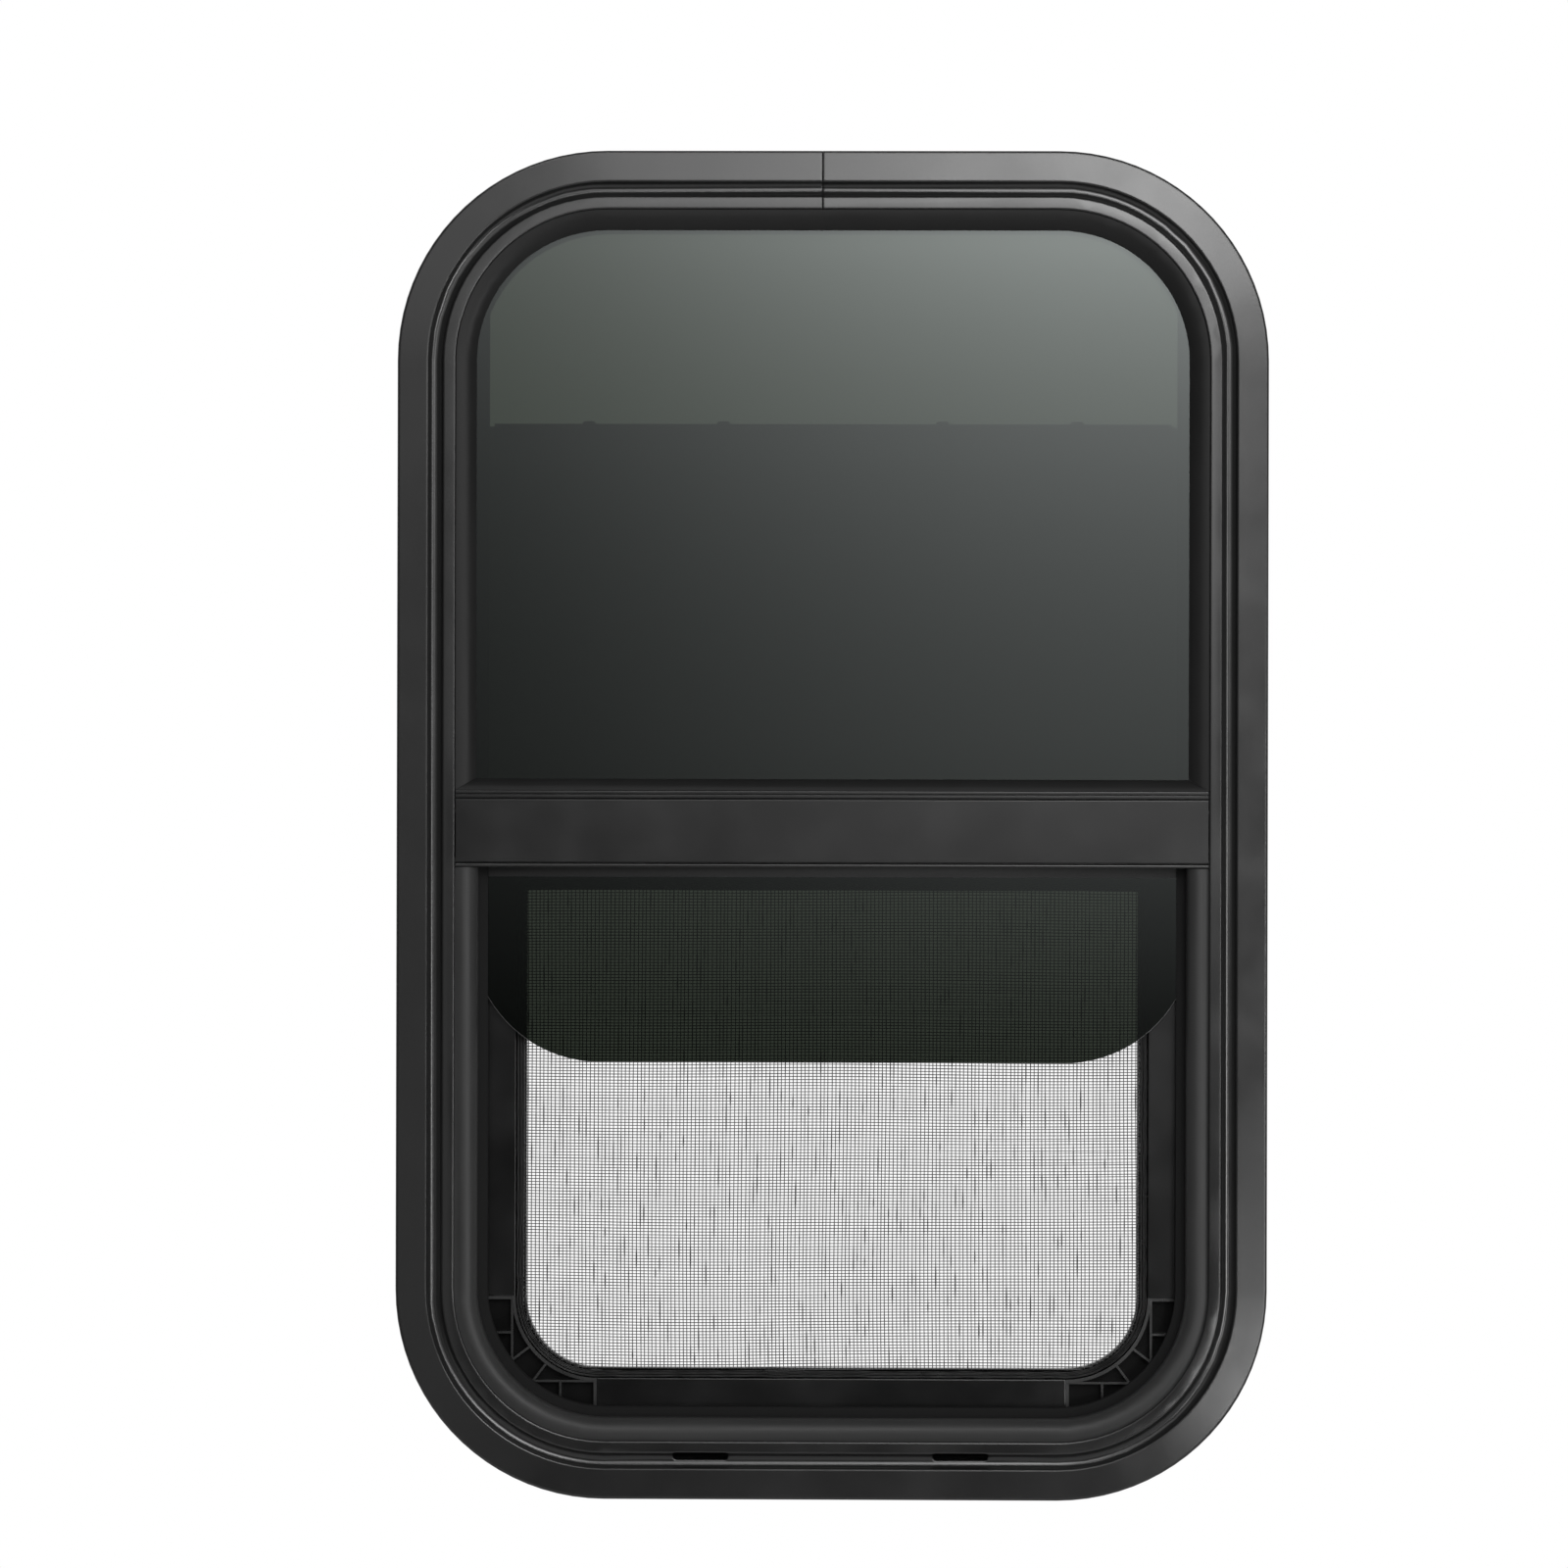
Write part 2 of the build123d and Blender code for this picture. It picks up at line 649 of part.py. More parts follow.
def screen_top_bar():
    """The upper bar of the fly screen, behind the mid rail."""
    section = bar_section(HALF_H - SCREEN_TOP)
    reach = HALF_W - SCREEN_EDGE_D
    return straight(section, "top", -reach, reach) & top_mitre(SEAT / 2)


def screen_bottom_bar():
    """The lower bar of the fly screen, between the two rounded corners."""
    section = bar_section(SCREEN_EDGE_D)
    return straight(section, "bottom", -SCREEN_CX, SCREEN_CX)


def screen_outline(distance, top):
    """An outline parallel to the screen's edge, as seen from outside."""
    radius = SCREEN_CORNER_R + SCREEN_EDGE_D - distance
    return pane(HALF_W - distance, -HALF_H + distance, top, foot_r=radius)


def screen_spline():
    """The rubber cord that presses the mesh into the groove all round."""
    top_groove = SCREEN_TOP - SCREEN_BAR_W + SCREEN_WALL + SPLINE_W
    outer = screen_outline(GROOVE_D + SEAT, top_groove - SEAT)
    inner = screen_outline(LIP_EDGE_D - SEAT, top_groove - SPLINE_W + SEAT)
    return slab(outer - inner, SCREEN_Y0 - SPLINE_PROUD, SCREEN_Y0 + SPLINE_DEEP - SEAT)


def screen_mesh():
    """The woven mesh on the bars' lips, drawn as a thin sheet with a plain grid of openings."""
    top = SCREEN_TOP - SCREEN_BAR_W + SCREEN_WALL + GLASS_GAP
    foot = -HALF_H + MESH_D
    width = WIDTH - 2 * MESH_D
    height = top - foot
    openings = screen_outline(MESH_D + MESH_BORDER, top - MESH_BORDER)
    for i in range(1, MESH_COLUMNS):
        openings -= Pos(width * (i / MESH_COLUMNS - 0.5), foot + height / 2) * Rectangle(MESH_BAR, height)
    for i in range(1, MESH_ROWS):
        openings -= Pos(0, foot + height * i / MESH_ROWS) * Rectangle(width, MESH_BAR)
    front = SCREEN_Y0 + GLASS_GAP
    return slab(screen_outline(MESH_D, top) - openings, front, front + MESH_T)


def screen_corner():
    """The screen's moulded corner, lower left: ribs open to the outside and keys into both bars."""
    rim = SCREEN_EDGE_D + CORNER_WALL
    inner_wall = GROOVE_D - CORNER_WALL
    floor = SCREEN_Y1 - CORNER_WALL
    section = face_of(
        (SCREEN_EDGE_D, SCREEN_Y0),
        (rim, SCREEN_Y0),
        (rim, floor),
        (inner_wall, floor),
        (inner_wall, SCREEN_Y0),
        (GROOVE_D, SCREEN_Y0),
        (GROOVE_D, SCREEN_Y0 + SPLINE_DEEP),
        (LIP_EDGE_D, SCREEN_Y0 + SPLINE_DEEP),
        (LIP_EDGE_D, MESH_SEAT),
        (SCREEN_IN_D, MESH_SEAT),
        (SCREEN_IN_D, SCREEN_Y1),
        (SCREEN_EDGE_D, SCREEN_Y1),
    )
    pocket_section = face_of(
        (rim, SCREEN_Y0 + RIB_DROP),
        (inner_wall, SCREEN_Y0 + RIB_DROP),
        (inner_wall, floor),
        (rim, floor),
    )
    plane = Plane((-SCREEN_CX, 0, -HALF_H), x_dir=(0, 0, 1), z_dir=(-1, 0, 0))
    axis = Axis((-SCREEN_CX, 0, SCREEN_CZ), (0, 1, 0))
    corner = revolve(plane * section, axis=axis, revolution_arc=90)
    pocket = revolve(plane * pocket_section, axis=axis, revolution_arc=90)
    return corner + (corner_ribs() & pocket) + corner_keys()


def corner_ribs():
    """Walls that stiffen the moulded corner, before they are trimmed to its pocket."""
    reach = SCREEN_CORNER_R
    inner = reach - (GROOVE_D - CORNER_WALL - SCREEN_EDGE_D)
    walls = (
        (inner, reach, 0, CORNER_WALL),
        (inner - RIB_T / 2, inner + RIB_T / 2, 0, reach),
        (inner, reach, RIB_OFFSET, RIB_OFFSET + RIB_T),
    )
    plan = Sketch()
    for u0, u1, v0, v1 in walls:
        plan += face_of((-u0, -v0), (-u1, -v0), (-u1, -v1), (-u0, -v1))
        plan += face_of((-v0, -u0), (-v0, -u1), (-v1, -u1), (-v1, -u0))
    middle = (inner + reach) / 2
    for turn in RIB_TURNS:
        plan += Rot(0, 0, 180 + turn) * Pos(middle, 0) * Rectangle(reach - inner, RIB_T)
    return slab(Pos(-SCREEN_CX, SCREEN_CZ) * plan, SCREEN_Y0, SCREEN_Y1)


def corner_keys():
    """The two keys of the moulded corner that push into the hollow bars."""
    slack = SCREEN_WALL + SEAT
    near = SCREEN_EDGE_D + slack
    far = GROOVE_D - slack
    front = SCREEN_Y0 + slack
    back = SCREEN_Y1 - slack
    up = block(-HALF_W + near, -HALF_W + far, front, back, SCREEN_CZ - SEAT, SCREEN_CZ + CORNER_KEY)
    along = block(-SCREEN_CX - SEAT, -SCREEN_CX + CORNER_KEY, front, back, -HALF_H + near, -HALF_H + far)
    return up + along


def build():
    """Every piece by its name."""
    pull = sash_pull()
    side_bar = screen_side_bar()
    corner = screen_corner()
    return {
        "outer_frame": outer_frame(),
        "upper_glass": upper_glass(),
        "upper_glazing_bead": upper_glazing_bead(),
        "rail_glazing_bead": rail_glazing_bead(),
        "mid_rail": mid_rail(),
        "rail_pile_seal": rail_pile_seal(),
        "lower_seal": lower_seal(),
        "run_channel": run_channel(),
        "screen_left_bar": side_bar,
        "screen_right_bar": mirror(side_bar, about=Plane.YZ),
        "screen_top_bar": screen_top_bar(),
        "screen_bottom_bar": screen_bottom_bar(),
        "screen_corner_left": corner,
        "screen_corner_right": mirror(corner, about=Plane.YZ),
        "screen_spline": screen_spline(),
        "screen_mesh": screen_mesh(),
        "sash_glass": sash_glass(),
        "sash_top_rail": sash_top_rail(),
        "sash_pull_right": pull,
        "sash_pull_left": mirror(pull, about=Plane.YZ),
    }


os.makedirs("parts", exist_ok=True)
for name, solid in build().items():
    export_step(solid, os.path.join("parts", name + ".step"))
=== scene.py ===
"""Looks of a rounded caravan window: a fixed pane, a sliding pane that is raised, and a fly screen."""

import math
import random

import bpy
import numpy as np
from mathutils import Matrix, Vector, noise


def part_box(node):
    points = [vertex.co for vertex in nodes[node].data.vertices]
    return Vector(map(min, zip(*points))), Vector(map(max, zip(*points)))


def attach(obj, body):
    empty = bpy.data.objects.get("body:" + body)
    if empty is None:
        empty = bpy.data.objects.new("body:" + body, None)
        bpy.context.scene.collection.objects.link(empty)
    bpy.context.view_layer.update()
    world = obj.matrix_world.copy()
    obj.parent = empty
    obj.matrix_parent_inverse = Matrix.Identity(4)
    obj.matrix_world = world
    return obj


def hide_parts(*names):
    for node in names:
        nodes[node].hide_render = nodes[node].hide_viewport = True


MM = 0.001
SEED = 7

# Picture: scale at the flange, where the picture's middle falls on the window, and the view's small turn.
PICTURE_PX = 1600
MM_PER_PX = 0.4682
AIM = Vector((-22.9 * MM, 0.0, 19.7 * MM))
CAMERA_DISTANCE = 4.0
CAMERA_YAW = math.radians(1.2)
CAMERA_ROLL = math.radians(0.14)
SENSOR_MM = 36.0

# Studio, in metres and degrees: the floor, the room's light, and the cards of light round the camera.
FLOOR_Z = -0.9
FLOOR_R = 3.0
FLOOR_SIDES = 96
FLOOR_FADE = (0.35 * FLOOR_R, 0.95 * FLOOR_R)
FLOOR_LEVEL = 0.9
FLOOR_ROUGH = 0.8
AMBIENT = 0.30
ROOM_DARK = 0.10
ROOM_FADE = (-0.1, 0.5)
SCRIM_Y = -4.3
BOX_Y = SCRIM_Y + 0.05
CORNER_BOX_Y = BOX_Y + 0.02
STRIP_OUT = 2.6
STRIP_Y = -3.4
STRIP_SPAN = (-0.35, 0.35)
STRIP_TURN = 37.0
SIDE_PLACE = (STRIP_OUT, STRIP_Y, 0.0)
TOP_PLACE = (0.0, STRIP_Y, STRIP_OUT)
BACK_PLACE = (-1.6, 3.2, 1.2)
BACK_TURN = -27.0

# Scrim: where its light changes, then its share of light at the two ends of each change.
SCRIM_RIGHTWARDS = ((-0.6, 0.35), (0.37, 1.85))
SCRIM_BEYOND = ((0.45, 0.9), (1.0, 0.42))
SCRIM_FOOT = ((-0.34, 0.08), (0.07, 1.0))

# Scrim: the logarithm of its light is a parabola over its height, up to a greatest level.
SCRIM_CURVE = 2.0
SCRIM_SLOPE = 2.0
SCRIM_BASE = -0.494
SCRIM_MAX = 3.4

# Smoothing of the solids' edges.
SMOOTH_ANGLE = math.radians(40.0)
MERGE_DISTANCE = 1e-6
METAL_EASE = 0.2 * MM
GLASS_EASE = 0.5 * MM
EASE_ANGLE = math.radians(38.0)
METAL_EASE_STEPS = 2
GLASS_EASE_STEPS = 1
EDGE_SAMPLES = 8

# Materials: where most noise values fall, depths of grain, levels of dust and gloss, with the low gloss that
# paints shade on the pocket floors.
NOISE_SPAN = (0.3, 0.7)
RUBBER_GRAIN = 0.015 * MM
PLASTIC_GRAIN = 0.02 * MM
YARN_GRAIN = 0.02 * MM
PAINT_DUST = 0.35
RUBBER_DUST = 0.16
PLASTIC_GLOSS = 0.5
SHADED_POCKET_GLOSS = 0.06

# Screen corners' painted shade: depth from the front where the pockets' gloss begins to drop, then how far
# in front of the back their floor is darkest and the gloss is full again.
POCKET_SHADE_START = 1.2 * MM
POCKET_SHADE_FLOOR = 1.5 * MM
POCKET_SHADE_END = 0.3 * MM

# Glass: its tint, its faint green sheen, the film on its faces, and its ground edges, which are where the
# surface turns away from the front.
GLASS_TINT = (0.025, 0.031, 0.023)
GLASS_SHEEN = (0.93, 1.0, 0.985, 1.0)
GLASS_IOR = 1.5
FILM_SPAN = (0.35, 0.75)
FILM_ROUGH = 0.012
EDGE_LEVELS = (0.10, 0.20)
EDGE_ROUGH = 0.45
FACE_NORMAL = 0.9

# Fly mesh: its threads' spacing and section, and how far it is tucked under the cord.
WARP_PITCH = 1.868 * MM
WEFT_PITCH = 1.447 * MM
WEFT_STEP = 7.5 * MM
THREAD_W = 0.47 * MM
THREAD_T = 0.30 * MM
THREAD_WAVE = 0.20 * MM
MESH_CORNER_R = 34.9 * MM
MESH_TUCK = 1.4 * MM

# Fly mesh: how far single threads and the whole cloth stray, at how many waves to the metre, with the seeds
# of that noise, and how much calmer a weft thread runs than a warp thread.
THREAD_DRIFT = 0.24 * MM
THREAD_DRIFT_RATE = 16.0
MESH_DRIFT = 1.5 * MM
MESH_DRIFT_RATE = 7.0
WARP_SEEDS = [1.0 + 0.37 * k for k in range(5)]
WEFT_SEEDS = [9.0 + 0.21 * k for k in range(4)]
WARP_PULL_SEED = 20.0
WEFT_PULL_SEED = 30.0
WEFT_CALM = 0.5

# Fly mesh: widths and tones of its threads, and the thick lengths in its warp.
WARP_WIDTH = 0.92
WEFT_WIDTHS = (0.86, 1.0)
WARP_TONES = (0.3, 0.9)
WEFT_TONES = (0.4, 1.0)
SLUBS_PER_THREAD = 8
SLUB_REACH = (2.5 * MM, 8.5 * MM)
SLUB_FLANK = 1.6
SLUB_GAIN = 0.62
SLUB_DARK = 0.7

# Spline cord: its section, then how unevenly it lies, with waves to the metre.
SPLINE_HALF_W = 2.0 * MM
SPLINE_CORNER_R = 37.0 * MM
SPLINE_TOP_R = 2.5 * MM
SPLINE_STEP = 1.2 * MM
SPLINE_SIDES = 18
SPLINE_SET = 0.25 * MM
SPLINE_CROWN = 0.55 * MM
SPLINE_RIBS = 3
SPLINE_RIB_H = 0.32 * MM
SPLINE_ROUGH = 0.35 * MM
SPLINE_ROUGH_RATE = 120.0
SPLINE_GRAIN = 0.12 * MM
SPLINE_GRAIN_RATE = 900.0
SPLINE_GRAIN_ACROSS = 3.0
SWAY_SEED = Vector((0.0, 0.0, 5.0))

# Cut ends of the mesh: spacing, share left out, root, lean along and across the cord, rise, section, tones.
FRAY_STEP = 1.1 * MM
FRAY_MISSING = 0.25
FRAY_ROOT_IN = 0.4 * MM
FRAY_ROOT_DEEP = 0.9 * MM
FRAY_LEAN = 0.7 * MM
FRAY_SWAY = 0.5 * MM
FRAY_RISE = (0.7 * MM, 1.3 * MM)
FRAY_WIDTHS = (0.3 * MM, 0.2 * MM)
FRAY_T = 0.2 * MM
FRAY_TONES = (0.1, 0.8)

# Fewest steps round one corner of the cord or of the mesh's cut edge.
LEAST_TURNS = 4

# Dark sealant in the frame's butt joint, which also paints the joint's shade: its middle, width, height and
# unevenness, then its runs over the flange and the lip, as distance in from the edge and depth, all in mm.
SEAM_X = -5.0
SEAM_W = 0.55
SEAM_PROUD = 0.03
SEAM_ROUGH = 0.08
SEAM_RUNS = (
    ((1.0, -3.07), (4.3, -3.29), (7.7, -3.52), (11.0, -3.74), (14.4, -3.97)),
    ((22.6, -4.4), (24.2, -4.4), (25.8, -4.4), (27.4, -4.4)),
)

# Pile strip: its backing, the places of its hairs as shares of their cells, and the hairs' section and lean.
PILE_BACKING = 0.5 * MM
PILE_TONE = 0.4
PILE_ROWS = 6
PILE_STEP = 0.8 * MM
HAIR_PLACES_X = (0.2, 0.8)
HAIR_PLACES_Z = (0.25, 0.75)
HAIR_R = 0.09 * MM
HAIR_TURN = 2.1
HAIR_SHORT = 0.35 * MM
HAIR_LEAN_X = 0.25 * MM
HAIR_LEAN_Z = 0.2 * MM

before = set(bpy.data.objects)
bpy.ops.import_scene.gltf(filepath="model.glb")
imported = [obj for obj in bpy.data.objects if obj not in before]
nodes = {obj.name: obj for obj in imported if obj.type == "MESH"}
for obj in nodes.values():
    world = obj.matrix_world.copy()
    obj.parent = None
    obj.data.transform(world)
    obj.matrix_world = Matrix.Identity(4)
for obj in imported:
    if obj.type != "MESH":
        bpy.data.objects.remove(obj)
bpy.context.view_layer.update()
draw = random.Random(SEED)


def add_node(tree, kind, inputs=None, **settings):
    """A node with its settings, and its inputs either linked or set."""
    node = tree.nodes.new(kind)
    for key, value in settings.items():
        setattr(node, key, value)
    for key, value in (inputs or {}).items():
        if isinstance(value, bpy.types.NodeSocket):
            tree.links.new(value, node.inputs[key])
        else:
            node.inputs[key].default_value = value
    return node


def math_node(tree, operation, first, second=None, third=None):
    """The result of one sum."""
    inputs = {i: v for i, v in enumerate((first, second, third)) if v is not None}
    return add_node(tree, "ShaderNodeMath", inputs, operation=operation).outputs[0]


def noise_node(tree, coords, scale, detail=2.0, roughness=0.5):
    """A noise value over the surface."""
    inputs = {"Vector": coords, "Scale": scale, "Detail": detail, "Roughness": roughness}
    return add_node(tree, "ShaderNodeTexNoise", inputs).outputs["Fac"]


def spread(tree, value, span, levels, smooth=False):
    """A value carried from one range to another, and held at its ends."""
    inputs = {
        "Value": value,
        "From Min": span[0],
        "From Max": span[1],
        "To Min": levels[0],
        "To Max": levels[1],
    }
    kind = "SMOOTHSTEP" if smooth else "LINEAR"
    return add_node(tree, "ShaderNodeMapRange", inputs, interpolation_type=kind).outputs["Result"]


def blend_color(tree, factor, first, second):
    """Two colours mixed by a factor."""
    mix = add_node(tree, "ShaderNodeMix", data_type="RGBA")
    for socket, value in ((mix.inputs[0], factor), (mix.inputs[6], first), (mix.inputs[7], second)):
        if isinstance(value, bpy.types.NodeSocket):
            tree.links.new(value, socket)
        else:
            socket.default_value = value
    return mix.outputs[2]


def grey(level):
    """A neutral colour."""
    return (level, level, level, 1.0)


def clouded(tree, cloud, level, darkest, lightest):
    """A grey that varies with a noise between two shares of its level."""
    return blend_color(tree, cloud, grey(level * darkest), grey(level * lightest))


def uneven_gloss(tree, shader, patch, rough, swing):
    """Roughness that varies with a noise by a swing each way."""
    level = spread(tree, patch, NOISE_SPAN, (rough - swing, rough + swing))
    tree.links.new(level, shader.inputs["Roughness"])


def new_material(name):
    """A material, its tree, its main shader and the place on the surface in metres."""
    material = bpy.data.materials.new(name)
    material.use_nodes = True
    tree = material.node_tree
    shader = tree.nodes["Principled BSDF"]
    coords = add_node(tree, "ShaderNodeTexCoord").outputs["Object"]
    return material, tree, shader, coords


def bump(tree, height, distance, normal=None):
    """A bumped normal from a height."""
    inputs = {"Height": height, "Distance": distance, "Strength": 1.0}
    if normal is not None:
        inputs["Normal"] = normal
    return add_node(tree, "ShaderNodeBump", inputs).outputs["Normal"]


def dust(tree, coords, scale, share, size):
    """Sparse specks: 1 in the middle of a few cells, 0 elsewhere."""
    cell = add_node(tree, "ShaderNodeTexVoronoi", {"Vector": coords, "Scale": scale})
    chosen = math_node(tree, "GREATER_THAN", cell.outputs["Color"], 1.0 - share)
    near = math_node(tree, "LESS_THAN", cell.outputs["Distance"], size)
    return math_node(tree, "MULTIPLY", chosen, near)


def paint_material(name, level, rough, peel, rounding):
    """Satin black coating: fine orange peel, uneven gloss, soft edges, a few specks of dust."""
    material, tree, shader, coords = new_material(name)
    cloud = noise_node(tree, coords, scale=9.0, detail=3.0)
    specks = dust(tree, coords, scale=90.0, share=0.012, size=0.03)
    tone = clouded(tree, cloud, level, darkest=0.85, lightest=1.15)
    color = blend_color(tree, specks, tone, grey(PAINT_DUST))
    tree.links.new(color, shader.inputs["Base Color"])
    patch = noise_node(tree, coords, scale=30.0, detail=4.0)
    uneven_gloss(tree, shader, patch, rough, swing=0.04)
    dimples = noise_node(tree, coords, scale=620.0, detail=1.0)
    grain = noise_node(tree, coords, scale=3200.0)
    grain_share = 0.35
    height = math_node(tree, "MULTIPLY_ADD", grain, grain_share, dimples)
    rounded = add_node(tree, "ShaderNodeBevel", {"Radius": rounding}, samples=EDGE_SAMPLES)
    normal = bump(tree, height, peel, rounded.outputs["Normal"])
    tree.links.new(normal, shader.inputs["Normal"])
    return material


def rubber_material(name, level, rough, gloss):
    """Extruded black rubber: fine grain, a dull bloom and dust."""
    material, tree, shader, coords = new_material(name)
    shader.inputs["Specular IOR Level"].default_value = gloss
    bloom = noise_node(tree, coords, scale=22.0, detail=5.0, roughness=0.6)
    specks = dust(tree, coords, scale=70.0, share=0.03, size=0.035)
    tone = clouded(tree, bloom, level, darkest=0.8, lightest=1.2)
    color = blend_color(tree, specks, tone, grey(RUBBER_DUST))
    tree.links.new(color, shader.inputs["Base Color"])
    uneven_gloss(tree, shader, bloom, rough, swing=0.06)
    grain = noise_node(tree, coords, scale=1500.0, detail=3.0, roughness=0.6)
    tree.links.new(bump(tree, grain, RUBBER_GRAIN), shader.inputs["Normal"])
    return material


def plastic_material(name, level, rough, pocket_shade=None):
    """Moulded matt plastic with a fine spark-eroded grain; its gloss is lowered on the floor of its pockets
    as painted shade.
    """
    material, tree, shader, coords = new_material(name)
    if pocket_shade:
        # Painted shade: the gloss falls towards the pocket floor to darken it, and rises again behind it.
        top, floor, back = pocket_shade
        depth = add_node(tree, "ShaderNodeSeparateXYZ", {"Vector": coords}).outputs["Y"]
        shade_inside = spread(tree, depth, (top, floor), (PLASTIC_GLOSS, SHADED_POCKET_GLOSS))
        behind = spread(tree, depth, (floor, back), (SHADED_POCKET_GLOSS, PLASTIC_GLOSS))
        gloss = math_node(tree, "MAXIMUM", shade_inside, behind)
        tree.links.new(gloss, shader.inputs["Specular IOR Level"])
    cloud = noise_node(tree, coords, scale=40.0, detail=3.0)
    color = clouded(tree, cloud, level, darkest=0.8, lightest=1.25)
    tree.links.new(color, shader.inputs["Base Color"])
    uneven_gloss(tree, shader, cloud, rough, swing=0.05)
    grain = noise_node(tree, coords, scale=2600.0, detail=3.0)
    tree.links.new(bump(tree, grain, PLASTIC_GRAIN), shader.inputs["Normal"])
    return material


def glass_material(name, tint):
    """Grey-green tinted glass with ground edges and a trace of film on its faces."""
    material, tree, shader, coords = new_material(name)
    shader.inputs["Base Color"].default_value = (*tint, 1.0)
    shader.inputs["Transmission Weight"].default_value = 1.0
    shader.inputs["IOR"].default_value = GLASS_IOR
    shader.inputs["Specular Tint"].default_value = GLASS_SHEEN
    film = noise_node(tree, coords, scale=14.0, detail=4.0)
    tree.links.new(spread(tree, film, FILM_SPAN, (0.0, FILM_ROUGH)), shader.inputs["Roughness"])
    grain = noise_node(tree, coords, scale=900.0, detail=3.0)
    edge = add_node(tree, "ShaderNodeBsdfPrincipled", {"Roughness": EDGE_ROUGH})
    edge_color = blend_color(tree, grain, *map(grey, EDGE_LEVELS))
    tree.links.new(edge_color, edge.inputs["Base Color"])
    normal = add_node(tree, "ShaderNodeNewGeometry").outputs["True Normal"]
    facing = add_node(tree, "ShaderNodeSeparateXYZ", {"Vector": normal}).outputs["Y"]
    flat = math_node(tree, "GREATER_THAN", math_node(tree, "ABSOLUTE", facing), FACE_NORMAL)
    both = add_node(tree, "ShaderNodeMixShader", {0: flat, 1: edge.outputs[0], 2: shader.outputs[0]})
    output = tree.nodes["Material Output"]
    tree.links.new(both.outputs[0], output.inputs["Surface"])
    return material


def yarn_material(name, dark, light, rough):
    """Coated yarn: tone from the thread it is, and a fine twist."""
    material, tree, shader, coords = new_material(name)
    tone = add_node(tree, "ShaderNodeAttribute", attribute_name="tone").outputs["Fac"]
    tree.links.new(blend_color(tree, tone, grey(dark), grey(light)), shader.inputs["Base Color"])
    twist = noise_node(tree, coords, scale=2400.0)
    uneven_gloss(tree, shader, twist, rough, swing=0.1)
    tree.links.new(bump(tree, twist, YARN_GRAIN), shader.inputs["Normal"])
    return material


FRAME_PAINT = paint_material("frame_paint", level=0.008, rough=0.18, peel=0.006 * MM, rounding=1.1 * MM)
RAIL_PAINT = paint_material("rail_paint", level=0.005, rough=0.16, peel=0.004 * MM, rounding=0.3 * MM)
SCREEN_PAINT = paint_material("screen_paint", level=0.002, rough=0.18, peel=0.004 * MM, rounding=0.8 * MM)
SEAL_RUBBER = rubber_material("seal_rubber", level=0.022, rough=0.48, gloss=0.24)
WEDGE_RUBBER = rubber_material("wedge_rubber", level=0.010, rough=0.40, gloss=0.13)
FLOCK = rubber_material("flock", level=0.008, rough=0.80, gloss=0.10)
# Dark sealant, which also serves as painted shade for the frame's butt joint.
JOINT_SEAL_AND_SHADE = rubber_material("joint_seal_shade", level=0.004, rough=0.7, gloss=0.1)
CORD_RUBBER = rubber_material("cord_rubber", level=0.002, rough=0.30, gloss=0.30)
corner_front, corner_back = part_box("screen_corner_left")
# The depths where painted shade darkens the floors of the screen corners' pockets.
corner_pocket_shade = (corner_front.y + POCKET_SHADE_START, corner_back.y - POCKET_SHADE_FLOOR, corner_back.y - POCKET_SHADE_END)
CORNER_PLASTIC_SHADED = plastic_material("corner_plastic", level=0.0025, rough=0.30, pocket_shade=corner_pocket_shade)
PULL_PLASTIC = plastic_material("pull_plastic", level=0.008, rough=0.36)
PANE_GLASS = glass_material("pane_glass", GLASS_TINT)
MESH_YARN = yarn_material("mesh_yarn", dark=0.015, light=0.075, rough=0.5)
PILE_YARN = yarn_material("pile_yarn", dark=0.008, light=0.03, rough=0.8)

PANES = ["upper_glass", "sash_glass"]
GLAZING_BEADS = ["upper_glazing_bead", "rail_glazing_bead"]
SASH_PULLS = ["sash_pull_left", "sash_pull_right"]
SCREEN_BARS = ["screen_left_bar", "screen_right_bar", "screen_top_bar", "screen_bottom_bar"]
SCREEN_CORNERS = ["screen_corner_left", "screen_corner_right"]
MATERIAL_OF = {
    "outer_frame": FRAME_PAINT,
    "mid_rail": RAIL_PAINT,
    **dict.fromkeys(PANES, PANE_GLASS),
    **dict.fromkeys(GLAZING_BEADS, WEDGE_RUBBER),
    "lower_seal": SEAL_RUBBER,
    "run_channel": FLOCK,
    "sash_top_rail": SCREEN_PAINT,
    **dict.fromkeys(SASH_PULLS, PULL_PLASTIC),
    **dict.fromkeys(SCREEN_BARS, SCREEN_PAINT),
    **dict.fromkeys(SCREEN_CORNERS, CORNER_PLASTIC_SHADED),
}
METAL_EDGES = [*SCREEN_BARS, *SCREEN_CORNERS, "sash_top_rail", "outer_frame", "mid_rail"]
EASE_OF = {
    **dict.fromkeys(METAL_EDGES, (METAL_EASE, METAL_EASE_STEPS)),
    **dict.fromkeys(PANES, (GLASS_EASE, GLASS_EASE_STEPS)),
}


def mesh_group(name):
    """An empty geometry group, with its way in and its way out."""
    group = bpy.data.node_groups.new(name, "GeometryNodeTree")
    group.interface.new_socket("Geometry", in_out="INPUT", socket_type="NodeSocketGeometry")
    group.interface.new_socket("Geometry", in_out="OUTPUT", socket_type="NodeSocketGeometry")
    way_in = group.nodes.new("NodeGroupInput").outputs[0]
    way_out = group.nodes.new("NodeGroupOutput").inputs[0]
    return group, way_in, way_out


def joined_faces_group():
    """Joins a solid's separate faces along their common edges."""
    group, way_in, way_out = mesh_group("joined_faces")
    inputs = {"Geometry": way_in, "Distance": MERGE_DISTANCE}
    merge = add_node(group, "GeometryNodeMergeByDistance", inputs)
    group.links.new(merge.outputs[0], way_out)
    return group


